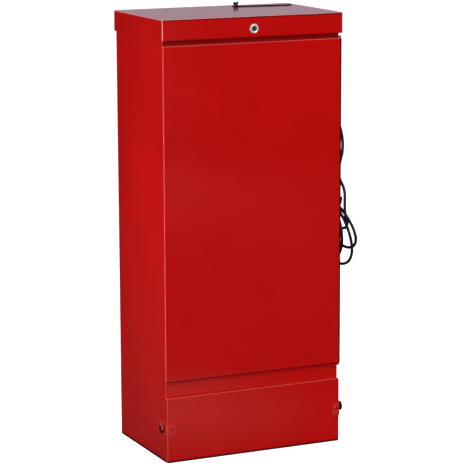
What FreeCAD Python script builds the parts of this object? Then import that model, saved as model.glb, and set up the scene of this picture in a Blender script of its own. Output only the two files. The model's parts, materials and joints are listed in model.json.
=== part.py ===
import FreeCAD, Part
import math
import os

# Electric cabinet smoker. Millimetres, +Z up, the front faces -Y and +X is the viewer's right.
# The origin is the middle of the flat underside of the floor pan.

Vector = FreeCAD.Vector
X, Y, Z = Vector(1, 0, 0), Vector(0, 1, 0), Vector(0, 0, 1)

# Driving dimensions
height = 1000.0  # top of the lid
body_half = 216.5  # half of the body's width
lid_half = 221.0
door_half = 219.5
cover_half = 217.0
frame_front = -130.5  # front plane of the body
body_rear = 139.5
lid_front = -141.0
lid_rear = 141.0
door_front = -140.5
door_back = -132.5
sheet = 1.5  # body sheet
skin = 1.2  # sheet of the lid, the door and the cover
edge_radius = 2.5  # outside radius of a bent edge
gap = 0.3  # between faces that pass each other
pin_clearance = 0.05

lid_bottom = 953.0
body_top = 988.5
door_bottom = 187.0
door_top = 942.0
cover_top = 151.0
stile = 14.0  # width of the front frame beside the openings
chamber_bottom = 200.0
chamber_top = 925.0
floor_level = 170.0
fire_bottom = 30.0
fire_top = 140.0

inner_half = body_half - sheet
inner_front = frame_front + sheet
inner_rear = body_rear - sheet
opening_half = inner_half - stile

hinge_x = 216.0  # door hinge axis
hinge_y = -136.5
hinge_pin_radius = 2.0

lock_z = 972.0
barrel_radius = 8.0
plug_radius = 5.5

damper_x = 68.0  # damper bolt on the lid
damper_y = 102.0
damper_turn = -3.0  # degrees, how far the closed damper points to the front
bolt_radius = 3.0
bolt_top = 1009.5

screw_y = -116.0  # thumb screws of the lower cover
screw_z = 78.0
screw_radius = 2.5

lid_axis_y = 143.0
lid_axis_z = 949.5
knuckle_radius = 3.5
lid_pin_radius = 1.5
lid_hinge_x = 130.0
notch_half = 14.0  # gap in the header that the lock barrel drops into
notch_bottom = 957.0
rim_width = 16.0

gland_y = 70.0
gland_z = 770.0
cord_radius = 3.5
hook_y = -52.0
hook_z = 541.0
hook_radius = 3.5
hook_tip = 264.0

coil_x = (223.0, 281.0)
coil_front = -125.0
coil_back = 5.0
coil_bottom = 396.0
coil_top = 556.0

# The cord leaves the gland sideways, sinks forward to the hook and hangs there in a loose coil.
# Its tail drops out of the coil and ends in a plug that hangs close to the wall.
boot_start = 225.5
boot_end = 247.0
lead_route = [
    (247, 70, 770),
    (263, 70, 770),
    (280, 66, 764),
    (293, 59, 752),
    (301, 47, 736),
    (304, 31, 716),
    (301, 13, 697),
    (294, -6, 678),
    (284, -22, 658),
    (270, -36, 639),
    (261, -45, 618),
    (258, -61, 602),
    (257, -79, 591),
    (254, -94, 576),
    (249, -102, 556),
    (247, -108, 528),
]
tail_route = [
    (238, -66, 398),
    (239, -63, 370),
    (239, -61, 341),
    (238, -60, 312),
]
plug_top = tail_route[-1]
grip_radius = 18.5
pin_spacing = 19.0

# Chamber and fire box
duct = (199.0, 105.0, 121.0)  # inner side, front and rear of the cable duct
slot_width = 12.0
slot_length = 60.0
levels = (222.0, 330.0, 480.0, 630.0)  # drip tray and three racks
shelf_front = -115.0
shelf_back = 90.0
shelf_half = 199.0
rod_z = 889.0
rod_radius = 4.0
rod_places = (-70.0, 0.0, 70.0)
element_z = 48.0
element_radius = 4.25
element_rows = (75.0, 25.0, -25.0, -75.0)
element_left = -130.0
element_right = 120.0
terminal_side = 180.0
tray_bottom = 59.0
tray_top = 84.0
tray_front = -100.0
tray_back = 100.0
tray_half = 150.0

# Fittings
thread_radius = 6.0
flange_depth = 4.0
catch_places = (380.0, 720.0)
vent = (112.0, 190.0, 87.0, 107.0)  # left, right, front and rear of the smoke vent
damper_bottom = height + 0.2
damper_top = damper_bottom + 2.0
damper_reach = 119.0  # from the bolt to the middle of the broad end
damper_small = 9.0  # radius of the end round the bolt
damper_broad = 20.0
wing_x = 5.6  # middle of a wing beside the bolt
wing_z = 4.4
wing_radius = 3.2
wing_thick = 1.8
wing_turn = 25.0  # degrees, how far the wings are turned from the lid's width
barrel_end = -122.0
cam_front = barrel_end + 0.2
block_length = 16.0
strap_half = 15.0
strap_sheet = 1.5
strap_back = -91.0
head_radius = 11.0
loose_screw = 10.0  # how far the right-hand thumb screw is turned out


def box(x0, x1, y0, y1, z0, z1):
    """A block between two corners."""
    return Part.makeBox(x1 - x0, y1 - y0, z1 - z0, Vector(x0, y0, z0))


def rod(radius, length, start, direction):
    return Part.makeCylinder(radius, length, start, direction)


def mirrored(shape):
    """The same shape on the other side of the cabinet."""
    return shape.mirror(Vector(0, 0, 0), X)


def union(shapes):
    return shapes[0].fuse(shapes[1:]).removeSplitter() if len(shapes) > 1 else shapes[0]


def group(shapes):
    """Separate solids that share one node."""
    return Part.makeCompound(shapes)


def rounded(shape, radius, wanted):
    """Fillets the edges that pass the test."""
    edges = [e for e in shape.Edges if wanted(e)]
    return shape.makeFillet(radius, edges)


def along(edge, axis):
    """Whether a straight edge runs along the axis."""
    ends = [v.Point for v in edge.Vertexes]
    return len(ends) == 2 and (ends[1] - ends[0]).normalize().cross(axis).Length < 1e-6


def slot(x0, x1, y0, y1, z0, z1):
    """A block with round ends along its longer side in X or Y."""
    radius = min(x1 - x0, y1 - y0) / 2
    block = box(x0, x1, y0, y1, z0, z1)
    return rounded(block, radius - 0.01, lambda e: along(e, Z))


def pan(half, front, back, bottom, top, wall):
    """A sheet pan that is open to the back, with bent edges round its front face."""
    outer = box(-half, half, front, back, bottom, top)
    at_front = lambda e: all(abs(v.Y - front) < 1e-6 for v in e.Vertexes)
    outer = rounded(outer, edge_radius, lambda e: at_front(e) or along(e, Y))
    inner = box(-half + wall, half - wall, front + wall, back + 1, bottom + wall, top - wall)
    inner_radius = edge_radius - wall
    at_inner = lambda e: all(abs(v.Y - front - wall) < 1e-6 for v in e.Vertexes)
    inner = rounded(inner, inner_radius, lambda e: at_inner(e) or along(e, Y))
    return outer.cut(inner)


def ring_plate(x0, x1, y0, y1, z0, z1, width, axis):
    """A flat rectangular ring: a plate with its middle cut out along the axis."""
    plate = box(x0, x1, y0, y1, z0, z1)
    if axis == "y":
        return plate.cut(box(x0 + width, x1 - width, y0 - 1, y1 + 1, z0 + width, z1 - width))
    return plate.cut(box(x0 + width, x1 - width, y0 + width, y1 - width, z0 - 1, z1 + 1))


def tube(points, radius):
    """A round bar along straight runs joined by tangent arcs, each as large as its runs allow."""
    corners, smallest = [], math.inf
    for before, point, after in zip(points, points[1:], points[2:]):
        run = min((point - before).Length, (after - point).Length)
        reach = 0.45 * run
        first = (before - point).normalize()
        second = (after - point).normalize()
        turn = math.pi - first.getAngle(second)
        bend = reach / math.tan(turn / 2)
        smallest = min(smallest, bend)
        middle = (first + second).normalize()
        inside = point + middle * (bend / math.cos(turn / 2) - bend)
        corners.append((point + first * reach, inside, point + second * reach))
    edges, at = [], points[0]
    for start, inside, end in corners:
        edges.append(Part.LineSegment(at, start).toShape())
        edges.append(Part.Arc(start, inside, end).toShape())
        at = end
    edges.append(Part.LineSegment(at, points[-1]).toShape())
    path = Part.Wire(edges)
    heading = (points[1] - points[0]).normalize()
    ring = Part.Wire([Part.makeCircle(radius, points[0], heading)])
    bar = path.makePipeShell([ring], True, False)
    share = bar.Volume / (math.pi * radius**2 * path.Length)
    return bar, path.Length, smallest, share


# Body panels

def floor_pan():
    return box(-inner_half, inner_half, inner_front, inner_rear, 0, sheet)


def side_panel():
    """The right-hand side, with holes for the cable gland and the thumb screw."""
    panel = box(inner_half, body_half, frame_front, body_rear, 0, body_top)
    corner = lambda e: along(e, Z) and e.Vertexes[0].X > body_half - 1e-6
    panel = rounded(panel, sheet - 0.1, corner)
    hole = rod(screw_radius + 0.1, 10, Vector(inner_half - 1, screw_y, screw_z), X)
    return panel.cut(hole)


def right_side_panel():
    hole = rod(thread_radius, 10, Vector(inner_half - 1, gland_y, gland_z), X)
    return side_panel().cut(hole)


def back_panel():
    return box(-inner_half, inner_half, inner_rear, body_rear, 0, body_top)


def front_stiles():
    """The two upright strips of the front frame."""
    right = box(opening_half, inner_half, frame_front, inner_front, 0, body_top)
    return group([right, mirrored(right)])


def front_rail(bottom, top):
    """A flat bar of the front frame between the two stiles."""
    return box(-opening_half, opening_half, frame_front, inner_front, bottom, top)


def top_rim():
    """The flanges that stiffen the rim, and the two upper strips of the header."""
    top = body_top + sheet
    side = box(body_half - rim_width, body_half, frame_front, body_rear, body_top, top)
    between = body_half - rim_width
    back = box(-between, between, body_rear - rim_width, body_rear, body_top, top)
    strip = box(notch_half, opening_half, frame_front, inner_front, notch_bottom, body_top)
    return group([side, mirrored(side), back, strip, mirrored(strip)])


def lock_keeper():
    """The ledge behind the header that the turned cam catches under."""
    leg = box(-44, -16, inner_front, inner_front + sheet, 977, 983.5)
    leaf = box(-44, -16, inner_front + sheet, -110, 982, 983.5)
    return union([leg, leaf])


def chamber_floor():
    """The shelf over the fire box, with slots that let the smoke up along both sides."""
    plate = box(-inner_half, inner_half, inner_front, inner_rear, floor_level, floor_level + sheet)
    for row_x in (-150, 150):
        for step in range(7):
            y = -90 + 30 * step
            ends = (row_x - slot_length / 2, row_x + slot_length / 2)
            sides = (y - slot_width / 2, y + slot_width / 2)
            plate = plate.cut(slot(*ends, *sides, floor_level - 1, floor_level + 3))
    inner, front, rear = duct
    notch = box(inner - gap, inner_half + 1, front - gap, rear + gap, floor_level - 1, floor_level + 3)
    return plate.cut(notch)


# Chamber fittings


def runners():
    """Angle bars on the right-hand wall, one for each level."""
    bars = []
    for level in levels:
        leaf = box(190, inner_half, shelf_front - 5, shelf_back + 5, level - sheet, level)
        leg = box(inner_half - sheet, inner_half, shelf_front - 5, shelf_back + 5, level - 12, level - sheet)
        bars.append(union([leaf, leg]))
    return group(bars)


def rack(level):
    """A wire rack: a heavier frame with cross wires lying in it."""
    frame_radius, wire_radius, wires = 2.5, 1.5, 23
    z = level + frame_radius
    x, front, back = shelf_half - frame_radius, shelf_front + frame_radius, shelf_back - frame_radius
    start = Vector(0, front, z)
    corners = [Vector(x, front, z), Vector(x, back, z), Vector(-x, back, z), Vector(-x, front, z)]
    path = Part.makePolygon([start] + corners + [start])
    profile = Part.Wire([Part.makeCircle(frame_radius, start, X)])
    round_corners = 2
    pieces = [path.makePipeShell([profile], True, False, round_corners)]
    for step in range(wires):
        wire_x = -x + 2 * x * (step + 1) / (wires + 1)
        pieces.append(rod(wire_radius, back - front, Vector(wire_x, front, z), Y))
    for share in (1 / 3, 2 / 3):
        y = front + (back - front) * share
        pieces.append(rod(wire_radius + 0.5, 2 * x, Vector(-x, y, z - 0.4), X))
    return union(pieces)


def hanging_rods():
    reach = inner_half - 2
    bars = [rod(rod_radius, 2 * reach, Vector(-reach, y, rod_z), X) for y in rod_places]
    ends = lambda e: len(e.Vertexes) == 1
    return group([rounded(bar, 0.8, ends) for bar in bars])


def rod_rail():
    """A notched bar on the right-hand wall that the hanging rods lie in."""
    rail = box(205, inner_half, -110, 110, 872, 893)
    for y in rod_places:
        seat = rod(rod_radius + 0.1, 20, Vector(200, y, rod_z), X)
        mouth = box(200, 220, y - rod_radius - 0.1, y + rod_radius + 0.1, rod_z, 900)
        rail = rail.cut(seat.fuse(mouth))
    return rail


def drip_tray():
    level, depth, wall = levels[0], 18.0, 1.0
    outer = box(-shelf_half, shelf_half, shelf_front, shelf_back, level, level + depth)
    outer = rounded(outer, 6, lambda e: along(e, Z))
    half = shelf_half - wall
    inner = box(-half, half, shelf_front + wall, shelf_back - wall, level + wall, level + depth + 1)
    inner = rounded(inner, 5, lambda e: along(e, Z))
    return outer.cut(inner)


# Fire box fittings


def heating_element():
    """A tubular heater bent into four runs, with both ends in the terminal box."""
    radius = (element_rows[0] - element_rows[1]) / 2
    left, right = element_left, element_right
    ends = [terminal_side, left, left, right, right, left, left, terminal_side]
    edges = []
    for row, y in enumerate(element_rows):
        start, end = Vector(ends[2 * row], y, element_z), Vector(ends[2 * row + 1], y, element_z)
        edges.append(Part.LineSegment(start, end).toShape())
        if row < len(element_rows) - 1:
            side = -radius if end.x < 0 else radius
            middle = Vector(end.x + side, y - radius, element_z)
            edges.append(Part.Arc(end, middle, Vector(end.x, y - 2 * radius, element_z)).toShape())
    path = Part.Wire(edges)
    start = Vector(terminal_side, element_rows[0], element_z)
    ring = Part.Wire([Part.makeCircle(element_radius, start, X)])
    return path.makePipeShell([ring], True, False)


def element_saddle():
    """The bar on the floor that the heater's free end rests on."""
    return box(-101, -99, -90, 90, sheet, element_z - element_radius)


def terminal_box():
    """The box on the right-hand wall that the heater's cold ends go into."""
    block = box(terminal_side, inner_half, -95, 125, 22, 75)
    block = rounded(block, 4, lambda e: along(e, Z) and e.Vertexes[0].X < inner_half - 1)
    cavity = box(terminal_side + 2, inner_half - 2, -93, 123, 24, 73)
    return block.cut(cavity)


def tray_bars():
    """The two flat bars that carry the sawdust tray over the heater."""
    bars = [box(-inner_half, terminal_side, y - 6, y + 6, tray_bottom - 3, tray_bottom) for y in (-60, 60)]
    return group(bars)


def sawdust_tray():
    """An open tray folded from sheet, with square corners."""
    outer = box(-tray_half, tray_half, tray_front, tray_back, tray_bottom, tray_top)
    half = tray_half - sheet
    inner = box(-half, half, tray_front + sheet, tray_back - sheet, tray_bottom + sheet, tray_top + 1)
    return outer.cut(inner)


def tray_handle():
    """A bent wire pull on the front of the sawdust tray."""
    z, radius = 73.0, 2.5
    back, front = tray_front, tray_front - 18
    points = [Vector(-35, back, z), Vector(-35, front, z), Vector(35, front, z), Vector(35, back, z)]
    bar, _, _, _ = tube(points, radius)
    return bar


# Wiring


def cable_duct():
    outer = box(duct[0], inner_half, duct[1], duct[2], 75, 745)
    return outer.cut(box(duct[0] + sheet, inner_half - sheet, duct[1] + sheet, duct[2] - sheet, 74, 746))


def junction_box():
    """The box on the wall where the mains cord meets the wires of the duct."""
    block = box(180, inner_half, 40, 125, 745, 800)
    block = rounded(block, 4, lambda e: along(e, X))
    cavity = box(182, inner_half - 2, 42, 123, 747, 798)
    hole = rod(thread_radius, 20, Vector(inner_half - 10, gland_y, gland_z), X)
    return block.cut(cavity).cut(hole)


def hexagon(across, depth, start, direction):
    corner = across / math.sqrt(3)
    side = Y if abs(direction.y) < 0.5 else X
    points = []
    for step in range(7):
        turn = FreeCAD.Rotation(direction, 60 * step)
        points.append(start + turn.multVec(side) * corner)
    return Part.Face(Part.makePolygon(points)).extrude(direction * depth)


def cable_gland():
    """The gland in the right-hand wall: thread, flange, dome nut and the nut inside the box."""
    at = lambda x: Vector(x, gland_y, gland_z)
    thread = rod(thread_radius - 0.05, body_half - 207, at(207), X)
    flange = hexagon(18, flange_depth, at(body_half), X)
    dome_start = body_half + flange_depth
    dome = Part.makeCone(8.5, 6.5, boot_start - dome_start, at(dome_start), X)
    nut = hexagon(17, 4, at(inner_half - 2 - 4), X)
    nut = nut.cut(rod(thread_radius, 20, at(200), X))
    return group([union([thread, flange, dome]), nut])


def cord_boot():
    """The tapered sleeve that keeps the cord from kinking at the gland."""
    start = Vector(boot_start, gland_y, gland_z)
    return Part.makeCone(5.8, cord_radius + 0.6, boot_end - boot_start, start, X)


def cord_lead():
    bar, length, smallest, share = tube([Vector(*p) for p in lead_route], cord_radius)
    print(f"cord_lead: {length:.0f} mm, smallest radius {smallest:.0f}, volume share {share:.3f}")
    return bar


def cord_tail():
    bar, length, smallest, share = tube([Vector(*p) for p in tail_route], cord_radius)
    print(f"cord_tail: {length:.0f} mm, smallest radius {smallest:.0f}, volume share {share:.3f}")
    return bar


def oval(x, y0, y1, z0, z1):
    """An upright elliptical face between two heights and two depths."""
    middle = Vector(x, (y0 + y1) / 2, (z0 + z1) / 2)
    curve = Part.Ellipse(Vector(x, middle.y, z1), Vector(x, y1, middle.z), middle)
    return Part.Face(Part.Wire([curve.toShape()]))


def cord_coil():
    """The outer shape of the turns of cord that hang on the hook, clear of the hook's bar and tip."""
    width = coil_x[1] - coil_x[0]
    outer = oval(coil_x[0], coil_front, coil_back, coil_bottom, coil_top).extrude(X * width)
    clear = hook_radius + 1.5
    bar = rod(hook_radius + gap, hook_tip - body_half, Vector(body_half, hook_y, hook_z), X)
    bend = 3 * hook_radius
    tip = box(hook_tip - bend, coil_x[1] + 1, hook_y - clear, hook_y + clear, hook_z - clear, coil_top + 1)
    return outer.cut(bar).cut(tip)


def mains_plug():
    """A round plug that hangs with its two pins down."""
    top = Vector(*plug_top)
    down = Vector(0, 0, -1)
    neck_length, grip_length, pin_length = 20, 24, 19
    neck = Part.makeCone(5, 8, neck_length, top, down)
    grip = rod(grip_radius, grip_length, top + down * neck_length, down)
    grip = rounded(grip, 3, lambda e: len(e.Vertexes) == 1)
    face = top + down * (neck_length + grip_length)
    pins = [rod(2.4, pin_length, face + Y * side * pin_spacing / 2, down) for side in (-1, 1)]
    return union([neck, grip] + pins)


def cord_hook():
    """A bent bar hook welded to a small plate on the right-hand wall."""
    plate = box(body_half, body_half + 2, hook_y - 14, hook_y + 14, hook_z - 30, hook_z + 16)
    plate = rounded(plate, 4, lambda e: along(e, X))
    ends = ((body_half + 2, hook_z), (hook_tip, hook_z), (hook_tip, hook_z + 20))
    points = [Vector(x, hook_y, z) for x, z in ends]
    bar, _, _, _ = tube(points, hook_radius)
    return union([plate, bar])


# Door fittings on the body

def door_bracket(plate_bottom, pin_end):
    """A lug on the front frame with the pin that the door turns on."""
    lug = box(203, 219, -140, frame_front, plate_bottom, plate_bottom + 2.5)
    lug = rounded(lug, 2.5, lambda e: along(e, Z) and e.Vertexes[0].Y < hinge_y)
    leg_bottom = plate_bottom + 2.5 if pin_end < plate_bottom else plate_bottom - 8
    leg = box(203, inner_half, frame_front - 1.5, frame_front, leg_bottom, leg_bottom + 8)
    start = min(pin_end, plate_bottom)
    pin = rod(hinge_pin_radius, abs(pin_end - plate_bottom) + 1, Vector(hinge_x, hinge_y, start), Z)
    pin = rounded(pin, 0.8, lambda e: len(e.Vertexes) == 1)
    return union([lug, leg, pin])


def magnet_catches():
    """The two magnets beside the left edge of the opening."""
    sides = (-opening_half, -opening_half + 12, frame_front, frame_front + 16)
    return group([box(*sides, z, z + 40) for z in catch_places])


def hinge_plate(x, y, bottom, top):
    """A hinge leaf's flat plate with three screw holes."""
    plate = box(x - 30, x + 30, y, y + sheet, bottom, top)
    for step in (-20, 0, 20):
        plate = plate.cut(rod(1.6, 10, Vector(x + step, y - 2, (bottom + top) / 2), Y))
    return plate


def knuckle(x0, x1):
    return rod(knuckle_radius, x1 - x0, Vector(x0, lid_axis_y, lid_axis_z), X)


def bored(shape, x):
    return shape.cut(rod(lid_pin_radius + pin_clearance, 80, Vector(x - 40, lid_axis_y, lid_axis_z), X))


def body_leaf(x):
    plate = hinge_plate(x, body_rear, 925, 945)
    tongue = box(x - 10, x + 10, body_rear, body_rear + sheet, 945, lid_axis_z)
    return bored(union([plate, tongue, knuckle(x - 10, x + 10)]), x)


def lid_leaf(x):
    pieces = [hinge_plate(x, lid_rear, lid_bottom + 1, 975)]
    for x0, x1 in ((x - 30, x - 10 - gap), (x + 10 + gap, x + 30)):
        pieces.append(box(x0, x1, lid_rear, lid_rear + sheet, lid_axis_z, lid_bottom + 1))
        pieces.append(knuckle(x0, x1))
    return bored(union(pieces), x)


def lid_hinge_pin(x):
    return rod(lid_pin_radius, 61, Vector(x - 30.5, lid_axis_y, lid_axis_z), X)


def both_hinges(make):
    return group([make(-lid_hinge_x), make(lid_hinge_x)])


def screw_nut():
    """The nut welded behind the side panel for the thumb screw."""
    nut = hexagon(10, 5, Vector(inner_half - 5, screw_y, screw_z), X)
    return nut.cut(rod(screw_radius + pin_clearance, 10, Vector(inner_half - 8, screw_y, screw_z), X))


def rivet(x, y, z, direction):
    """A low domed rivet head on a panel."""
    head = Part.makeSphere(3.2, Vector(0, 0, -2), Z).common(rod(3, 3, Vector(0, 0, 0), Z))
    head.Placement = FreeCAD.Placement(Vector(x, y, z), FreeCAD.Rotation(Z, direction))
    return head


def panel_rivets():
    """The rivets that hold the back panel, and the two of the cord hook."""
    heads = []
    for side in (-1, 1):
        for step in range(6):
            heads.append(rivet(side * 207, body_rear, 60 + 160 * step, Y))
    for z in (hook_z - 22, hook_z + 10):
        heads.append(rivet(body_half + 2, hook_y, z, X))
    return group(heads)


# Lid


def lid_shell():
    """The lid: a sheet cap with bent edges, a vent, a bolt hole and a lock hole."""
    outer = box(-lid_half, lid_half, lid_front, lid_rear, lid_bottom, height)
    at_top = lambda e: all(abs(v.Z - height) < 1e-6 for v in e.Vertexes)
    outer = rounded(outer, edge_radius, lambda e: at_top(e) or along(e, Z))
    half = lid_half - skin
    inner = box(-half, half, lid_front + skin, lid_rear - skin, lid_bottom - 1, height - skin)
    at_ceiling = lambda e: all(abs(v.Z - height + skin) < 1e-6 for v in e.Vertexes)
    inner = rounded(inner, edge_radius - skin, lambda e: at_ceiling(e) or along(e, Z))
    shell = outer.cut(inner)
    shell = shell.cut(slot(*vent, height - 5, height + 5))
    shell = shell.cut(rod(bolt_radius + 0.05, 10, Vector(damper_x, damper_y, height - 5), Z))
    return shell.cut(rod(barrel_radius + 0.05, 10, Vector(0, lid_front - 2, lock_z), Y))


def lid_seal():
    """The soft strip inside the lid that closes on the rim of the body."""
    return ring_plate(-216, 216, -130, 138, body_top + sheet + gap, height - skin, 14, "z")


def damper_bolt():
    """The bolt through the lid, with its head below and a washer on the damper."""
    head = hexagon(10, 4, Vector(damper_x, damper_y, height - skin - 4), Z)
    shank = rod(bolt_radius, bolt_top - height + skin, Vector(damper_x, damper_y, height - skin), Z)
    shank = rounded(shank, 0.6, lambda e: len(e.Vertexes) == 1 and e.Vertexes[0].Z > height)
    washer = rod(6, 1, Vector(damper_x, damper_y, damper_top), Z)
    washer = washer.cut(rod(bolt_radius + 0.1, 5, Vector(damper_x, damper_y, damper_top - 2), Z))
    return group([union([head, shank]), washer])


def damper_plate():
    """The swinging plate over the vent, broad at its free end, turned on its bolt."""
    thick = damper_top - damper_bottom
    centre = Vector(damper_x, damper_y, damper_bottom)
    lean = math.asin((damper_broad - damper_small) / damper_reach)
    corners = []
    for side in (1, -1):
        normal = Vector(-math.sin(lean), side * math.cos(lean), 0)
        ends = [centre + normal * damper_small, centre + X * damper_reach + normal * damper_broad]
        corners += ends if side > 0 else ends[::-1]
    blade = Part.Face(Part.makePolygon(corners + corners[:1])).extrude(Z * thick)
    broad_end = rod(damper_broad, thick, centre + X * damper_reach, Z)
    plate = union([blade, broad_end, rod(damper_small, thick, centre, Z)])
    plate = plate.cut(rod(bolt_radius + 0.1, 10, centre - Z * 4, Z))
    plate.rotate(centre, Z, damper_turn)
    return plate


def wing_nut():
    """A nut with two upright wings."""
    base = damper_top + 1.1
    centre = Vector(damper_x, damper_y, base)
    pieces = [Part.makeCone(4.6, 3.9, 4.0, centre, Z)]
    for side in (-1, 1):
        x = damper_x + side * wing_x
        wing = rod(wing_radius, wing_thick, Vector(x, damper_y - wing_thick / 2, base + wing_z), Y)
        sides = sorted((damper_x + side * 3, x))
        root = box(*sides, damper_y - wing_thick / 2, damper_y + wing_thick / 2, base + 0.6, base + wing_z)
        pieces += [wing, root]
    nut = union(pieces).cut(rod(bolt_radius + pin_clearance, 20, centre - Z * 2, Z))
    return nut.rotated(centre, Z, wing_turn)


def lock_body():
    """The fixed barrel of the cam lock with its front ring and the nut behind the lip."""
    at = lambda y: Vector(0, y, lock_z)
    barrel = rod(barrel_radius, barrel_end - lid_front, at(lid_front), Y)
    ring = Part.makeCone(9.6, 10.6, 2.5, at(lid_front - 2.5), Y)
    bore = rod(plug_radius + pin_clearance, 40, at(lid_front - 10), Y)
    nut = hexagon(19, 4, at(lid_front + skin), Y).cut(rod(barrel_radius, 40, at(-150), Y))
    return group([union([barrel, ring]).cut(bore), nut])


def lock_plug():
    """The core of the lock, with its key slot and the square stub of the cam."""
    at = lambda y: Vector(0, y, lock_z)
    core = rod(plug_radius, barrel_end - lid_front + 2.2, at(lid_front - 2.2), Y)
    stub = box(-3, 3, barrel_end, cam_front + 1.5, lock_z - 3, lock_z + 3)
    key = box(-0.9, 0.9, lid_front - 5, lid_front + 12, lock_z - 4, lock_z + 4)
    key.rotate(at(0), Y, 45)
    return union([core, stub]).cut(key)


def lock_cam():
    """The cam, which hangs down when the lock is open, and the screw that holds it."""
    at = lambda y, z: Vector(0, y, z)
    half, thick, reach = 5.0, 1.5, 28.0
    end = rod(half, thick, at(cam_front, lock_z - reach), Y)
    arm = box(-half, half, cam_front, cam_front + thick, lock_z - reach, lock_z)
    head = rod(half, thick, at(cam_front, lock_z), Y)
    cam = union([arm, end, head]).cut(box(-3, 3, cam_front - 1, cam_front + 3, lock_z - 3, lock_z + 3))
    screw = rod(4, 2.5, at(cam_front + thick, lock_z), Y)
    screw = rounded(screw, 0.8, lambda e: len(e.Vertexes) == 1)
    return group([cam, screw])


# Door


def door_shell():
    """The outer pan of the door, with the two pin holes."""
    shell = pan(door_half, door_front, door_back, door_bottom, door_top, skin)
    for z in (door_bottom, door_top):
        shell = shell.cut(rod(hinge_pin_radius + 0.15, 8, Vector(hinge_x, hinge_y, z - 4), Z))
    return shell


def door_liner():
    """The flat sheet that closes the back of the door pan."""
    half = door_half - skin
    liner = box(-half, half, door_back - skin, door_back, door_bottom + skin, door_top - skin)
    return rounded(liner, edge_radius - skin, lambda e: along(e, Y))


def door_pivot_blocks():
    """The two bored blocks inside the door that turn on the pins."""
    blocks = []
    for bottom in (door_bottom + skin, door_top - skin - block_length):
        depth = (door_front + skin, door_back - skin)
        block = box(206, door_half - edge_radius, *depth, bottom, bottom + block_length)
        at_front = lambda e: along(e, X) and e.Vertexes[0].Y < door_front + skin + 0.1
        block = rounded(block, edge_radius - skin, at_front)
        bore = rod(hinge_pin_radius + pin_clearance, 40, Vector(hinge_x, hinge_y, bottom - 10), Z)
        blocks.append(block.cut(bore))
    return group(blocks)


def door_seal():
    return ring_plate(-211, 211, door_back, door_back + 1.6, 189.5, 935.5, 8, "y")


def door_strikers():
    """The steel plates on the door that meet the magnets."""
    left = -opening_half + 1
    plates = [box(left, left + 11, door_back, door_back + 1.4, z, z + 40) for z in catch_places]
    return group(plates)


# Lower cover


def lower_cover():
    return pan(cover_half, door_front, frame_front - 0.2, 0.5, cover_top, skin)


def cover_strap():
    """The right-hand corner strap, whose slot is open to the rear for the thumb screw."""
    out = cover_half + strap_sheet
    low, high = screw_z - strap_half, screw_z + strap_half
    side = box(cover_half, out, door_front - strap_sheet, strap_back, low, high)
    front = box(cover_half - 18, cover_half, door_front - strap_sheet, door_front, low, high)
    strap = union([side, front])
    outer_corner = lambda e: along(e, Z) and e.Vertexes[0].X > out - 0.1 and e.Vertexes[0].Y < door_front
    strap = rounded(strap, edge_radius, outer_corner)
    inner_x = cover_half - edge_radius
    corner = rod(edge_radius, high - low, Vector(inner_x, door_front + edge_radius, low), Z)
    web = box(inner_x, cover_half, door_front, door_front + edge_radius, low, high).cut(corner)
    strap = union([strap, web])
    mouth_half = screw_radius + 0.3
    mouth = box(cover_half - 1, out + 1, screw_y, strap_back + 1, screw_z - mouth_half, screw_z + mouth_half)
    end = rod(mouth_half, 10, Vector(cover_half - 4, screw_y, screw_z), X)
    return strap.cut(mouth).cut(end)


def thumb_screw(out):
    """The right-hand thumb screw, turned out by some length: a broad domed head on a short shank."""
    start = cover_half + strap_sheet + 0.2 + out
    head = rod(head_radius, 5.5, Vector(start, screw_y, screw_z), X)
    head = rounded(head, 2.2, lambda e: len(e.Vertexes) == 1 and e.Vertexes[0].X > start + 3)
    shank = rod(screw_radius, start - 206, Vector(206, screw_y, screw_z), X)
    return union([head, shank])


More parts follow.
